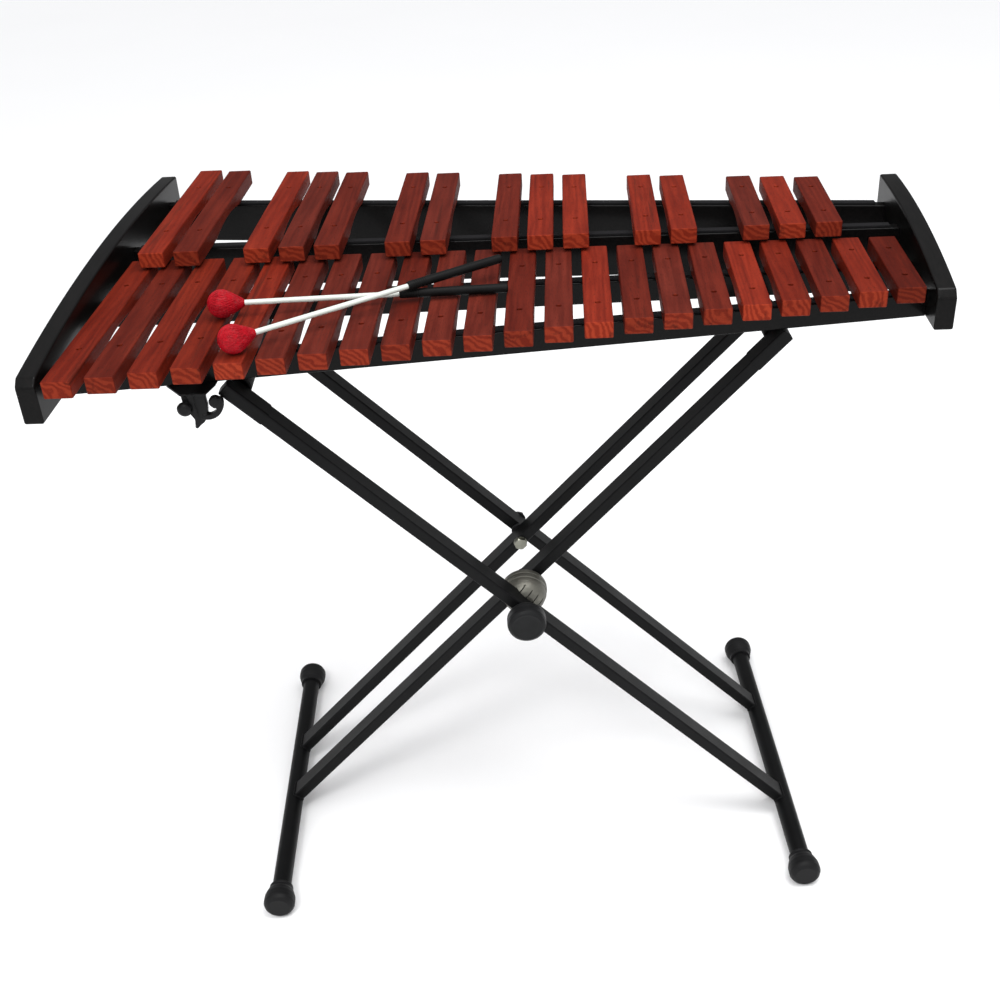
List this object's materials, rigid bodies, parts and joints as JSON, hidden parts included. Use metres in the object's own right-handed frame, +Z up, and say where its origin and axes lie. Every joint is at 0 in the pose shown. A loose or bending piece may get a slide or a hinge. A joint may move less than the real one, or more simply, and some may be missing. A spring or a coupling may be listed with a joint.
{
  "type": "xylophone",
  "caption": "Concert xylophone: red-brown wooden bars on a tapered black frame between bowed end boards, on a folding double-X tube stand, with a pair of mallets.",
  "frame": {"origin": "middle of the bounding box on the floor", "axes": "+X along the keyboard from the long, low bars to the short, high bars; +Y from the player's side, with the natural bars, to the sharp bars' side; +Z up"},
  "size_m": [1.1124, 0.7602, 0.8711],
  "materials": {
    "bar_wood": "oiled red-brown tropical hardwood, satin, fine dark pores",
    "black_lacquer": "satin black lacquer on hardwood",
    "black_felt": "pressed felt",
    "pin_steel": "plated steel pin in a dark sleeve",
    "screw_steel": "blackened steel",
    "clamp_plastic": "moulded black plastic, fine texture",
    "powder_coat": "black powder coat, satin",
    "cap_rubber": "matte black moulded rubber",
    "sleeve_rubber": "soft black rubber sleeve",
    "die_cast": "die-cast, satin grey",
    "black_steel": "blackened steel, semi-gloss",
    "zinc_steel": "bright zinc plate",
    "knob_plastic": "moulded black plastic, semi-gloss",
    "mallet_yarn": "tightly wound red yarn",
    "white_shaft": "white fibreglass rod",
    "grip_rubber": "black rubber grip"
  },
  "bodies": {
    "outer_feet": {"outer_foot_caps": "cap_rubber"},
    "outer_frame": {"outer_front_leg": "powder_coat", "outer_back_leg": "powder_coat", "outer_top_bar": "powder_coat", "outer_foot_bar": "powder_coat", "clutch_front_disc": "die_cast", "clutch_bolt": "black_steel", "rear_pivot_bolt": "zinc_steel", "rear_pivot_nut": "black_steel"},
    "inner_frame": {"inner_front_leg": "powder_coat", "inner_back_leg": "powder_coat", "inner_top_bar": "powder_coat", "inner_foot_bar": "powder_coat", "inner_bar_sleeve": "sleeve_rubber", "clutch_rear_disc": "die_cast"},
    "inner_feet": {"inner_foot_caps": "cap_rubber"},
    "saddle": {"outer_bar_sleeve": "sleeve_rubber"},
    "keyboard": {"bar_c4": "bar_wood", "bar_d4": "bar_wood", "bar_e4": "bar_wood", "bar_f4": "bar_wood", "bar_g4": "bar_wood", "bar_a4": "bar_wood", "bar_b4": "bar_wood", "bar_c5": "bar_wood", "bar_d5": "bar_wood", "bar_e5": "bar_wood", "bar_f5": "bar_wood", "bar_g5": "bar_wood", "bar_a5": "bar_wood", "bar_b5": "bar_wood", "bar_c6": "bar_wood", "bar_d6": "bar_wood", "bar_e6": "bar_wood", "bar_f6": "bar_wood", "bar_g6": "bar_wood", "bar_a6": "bar_wood", "bar_b6": "bar_wood", "bar_c7": "bar_wood", "sharp_bars_low_octave": "bar_wood", "sharp_bars_middle_octave": "bar_wood", "sharp_bars_high_octave": "bar_wood", "left_end_board": "black_lacquer", "right_end_board": "black_lacquer", "natural_front_rail": "black_lacquer", "natural_back_rail": "black_lacquer", "sharp_front_rail": "black_lacquer", "sharp_back_rail": "black_lacquer", "felt_strips": "black_felt", "bar_pins": "pin_steel", "frame_screws": "screw_steel", "clamp_bracket": "clamp_plastic"},
    "clamp_knob": {"clamp_knob": "clamp_plastic"},
    "clutch_knob": {"clutch_knob": "knob_plastic"},
    "mallet_1": {"mallet_1_head": "mallet_yarn", "mallet_1_shaft": "white_shaft", "mallet_1_grip": "grip_rubber"},
    "mallet_2": {"mallet_2_head": "mallet_yarn", "mallet_2_shaft": "white_shaft", "mallet_2_grip": "grip_rubber"}
  },
  "joints": [
    {"name": "stand_fold", "type": "hinge", "parent": "outer_feet", "child": "outer_frame", "pos_m": [0.38226, -0.06273, 0.0218], "axis": [-0.068, 0.9977, 0], "range_deg": [-12, 39]},
    {"name": "x_pivot", "type": "hinge", "parent": "outer_frame", "child": "inner_frame", "pos_m": [0.00525, -0.08844, 0.41174], "axis": [-0.068, 0.9977, 0], "range_deg": [-78, 24]},
    {"name": "inner_feet_turn", "type": "hinge", "parent": "inner_frame", "child": "inner_feet", "pos_m": [-0.37176, -0.11414, 0.0218], "axis": [-0.068, 0.9977, 0], "range_deg": [-12, 39]},
    {"name": "saddle_turn", "type": "hinge", "parent": "outer_frame", "child": "saddle", "pos_m": [-0.33426, -0.11158, 0.76291], "axis": [-0.068, 0.9977, 0], "range_deg": [-39, 12]},
    {"name": "keyboard_lift", "type": "slide", "parent": "saddle", "child": "keyboard", "axis": [0, 0, 1], "range_m": [0, 0.15]},
    {"name": "clamp_knob_turn", "type": "hinge", "parent": "keyboard", "child": "clamp_knob", "pos_m": [-0.38545, -0.24144, 0.75971], "axis": [0, 1, 0], "continuous": true},
    {"name": "clutch_knob_turn", "type": "hinge", "parent": "outer_frame", "child": "clutch_knob", "pos_m": [0.01464, -0.22612, 0.41174], "axis": [-0.068, 0.9977, 0], "continuous": true},
    {"name": "mallet_1_lift", "type": "slide", "parent": "keyboard", "child": "mallet_1", "axis": [0, 0, 1], "range_m": [0, 0.1]},
    {"name": "mallet_2_lift", "type": "slide", "parent": "mallet_1", "child": "mallet_2", "axis": [0, 0, 1], "range_m": [0, 0.1]}
  ],
  "couplings": [
    {"joint": "x_pivot", "follows": "stand_fold", "ratio": -2},
    {"joint": "inner_feet_turn", "follows": "stand_fold", "ratio": 1},
    {"joint": "saddle_turn", "follows": "stand_fold", "ratio": -1}
  ]
}
